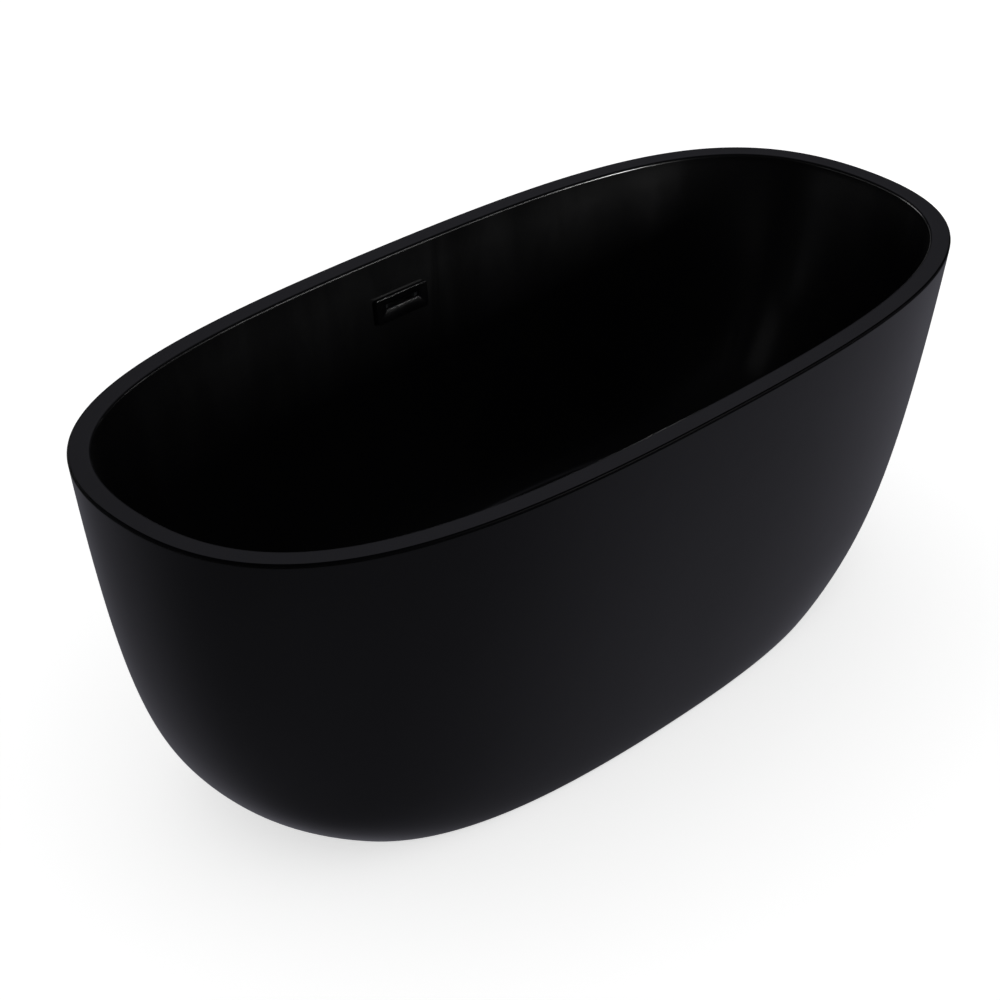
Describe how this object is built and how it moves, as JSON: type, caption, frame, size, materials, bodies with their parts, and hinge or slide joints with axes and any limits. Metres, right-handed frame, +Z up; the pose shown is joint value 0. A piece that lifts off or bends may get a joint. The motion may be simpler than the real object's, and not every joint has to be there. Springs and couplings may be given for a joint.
{
  "type": "freestanding bathtub",
  "caption": "Freestanding oval double-wall bathtub with a narrow flat rim, slotted overflow, push plug drain and levelling feet on a steel frame.",
  "frame": {"origin": "on the floor, under the middle of the tub", "axes": "+X along the tub, +Y towards the wall with the overflow, +Z up"},
  "size_m": [1.4996, 0.6996, 0.58],
  "materials": {
    "gloss_acrylic": "polished acrylic",
    "satin_acrylic": "satin acrylic",
    "sealant": "matt sealant",
    "board": "sanded board with raw edges",
    "frame_steel": "galvanised",
    "bracket_steel": "zinc plated",
    "fasteners": "zinc plated",
    "stud_steel": "zinc plated",
    "foot_plastic": "moulded",
    "sole_rubber": "matt",
    "polished_metal": "polished",
    "seal_rubber": "matt",
    "pipe_plastic": "moulded",
    "outlet_metal": "plated",
    "stem_steel": "turned",
    "barrel_brass": "turned",
    "cover_plastic": "polished",
    "hose_plastic": "moulded",
    "clamp_steel": "stainless"
  },
  "bodies": {
    "tub": {"basin": "gloss_acrylic", "skirt": "satin_acrylic", "rim_seam": "sealant", "base_board": "board", "rail_front": "frame_steel", "rail_back": "frame_steel", "cross_bar_1": "frame_steel", "cross_bar_2": "frame_steel", "cross_bar_3": "frame_steel", "cross_bar_4": "frame_steel", "frame_screws": "fasteners", "skirt_bracket_1": "bracket_steel", "skirt_bracket_2": "bracket_steel", "skirt_bracket_3": "bracket_steel", "skirt_bracket_4": "bracket_steel", "bracket_bolts": "fasteners", "flange_screws": "fasteners", "weld_nuts": "fasteners", "lock_nuts": "fasteners", "drain_flange": "polished_metal", "flange_seal": "seal_rubber", "under_seal": "seal_rubber", "drain_body": "pipe_plastic", "outlet_washer": "seal_rubber", "outlet_nut": "pipe_plastic", "outlet_pipe": "outlet_metal", "plug_barrel": "barrel_brass", "plug_spring": "stem_steel", "overflow_cover": "cover_plastic", "overflow_core": "pipe_plastic", "overflow_screws": "fasteners", "overflow_seal": "seal_rubber", "overflow_body": "pipe_plastic", "overflow_hose": "hose_plastic", "hose_clamp_top": "clamp_steel", "hose_clamp_bottom": "clamp_steel"},
    "plug": {"plug_cap": "polished_metal", "plug_seal": "seal_rubber", "plug_stem": "stem_steel"},
    "foot_1": {"foot_pad_1": "foot_plastic", "foot_sole_1": "sole_rubber"},
    "stud_1": {"foot_stud_1": "stud_steel"},
    "foot_2": {"foot_pad_2": "foot_plastic", "foot_sole_2": "sole_rubber"},
    "stud_2": {"foot_stud_2": "stud_steel"},
    "foot_3": {"foot_pad_3": "foot_plastic", "foot_sole_3": "sole_rubber"},
    "stud_3": {"foot_stud_3": "stud_steel"},
    "foot_4": {"foot_pad_4": "foot_plastic", "foot_sole_4": "sole_rubber"},
    "stud_4": {"foot_stud_4": "stud_steel"}
  },
  "joints": [
    {"name": "plug_lift", "type": "slide", "parent": "tub", "child": "plug", "axis": [0, 0, 1], "range_m": [0, 0.009], "deforming": ["plug_spring"]},
    {"name": "foot_1_drop", "type": "slide", "parent": "tub", "child": "foot_1", "axis": [0, 0, -1], "range_m": [-0.0035, 0.014]},
    {"name": "stud_1_turn", "type": "hinge", "parent": "foot_1", "child": "stud_1", "pos_m": [-0.375, -0.14, 0.05], "axis": [0, 0, -1], "range_deg": [-720, 2880]},
    {"name": "foot_2_drop", "type": "slide", "parent": "tub", "child": "foot_2", "axis": [0, 0, -1], "range_m": [-0.0035, 0.014]},
    {"name": "stud_2_turn", "type": "hinge", "parent": "foot_2", "child": "stud_2", "pos_m": [0.375, -0.14, 0.05], "axis": [0, 0, -1], "range_deg": [-720, 2880]},
    {"name": "foot_3_drop", "type": "slide", "parent": "tub", "child": "foot_3", "axis": [0, 0, -1], "range_m": [-0.0035, 0.014]},
    {"name": "stud_3_turn", "type": "hinge", "parent": "foot_3", "child": "stud_3", "pos_m": [-0.375, 0.14, 0.05], "axis": [0, 0, -1], "range_deg": [-720, 2880]},
    {"name": "foot_4_drop", "type": "slide", "parent": "tub", "child": "foot_4", "axis": [0, 0, -1], "range_m": [-0.0035, 0.014]},
    {"name": "stud_4_turn", "type": "hinge", "parent": "foot_4", "child": "stud_4", "pos_m": [0.375, 0.14, 0.05], "axis": [0, 0, -1], "range_deg": [-720, 2880]}
  ],
  "couplings": [
    {"joint": "stud_1_turn", "follows": "foot_1_drop", "rad_per_m": 3590.4},
    {"joint": "stud_2_turn", "follows": "foot_2_drop", "rad_per_m": 3590.4},
    {"joint": "stud_3_turn", "follows": "foot_3_drop", "rad_per_m": 3590.4},
    {"joint": "stud_4_turn", "follows": "foot_4_drop", "rad_per_m": 3590.4}
  ]
}
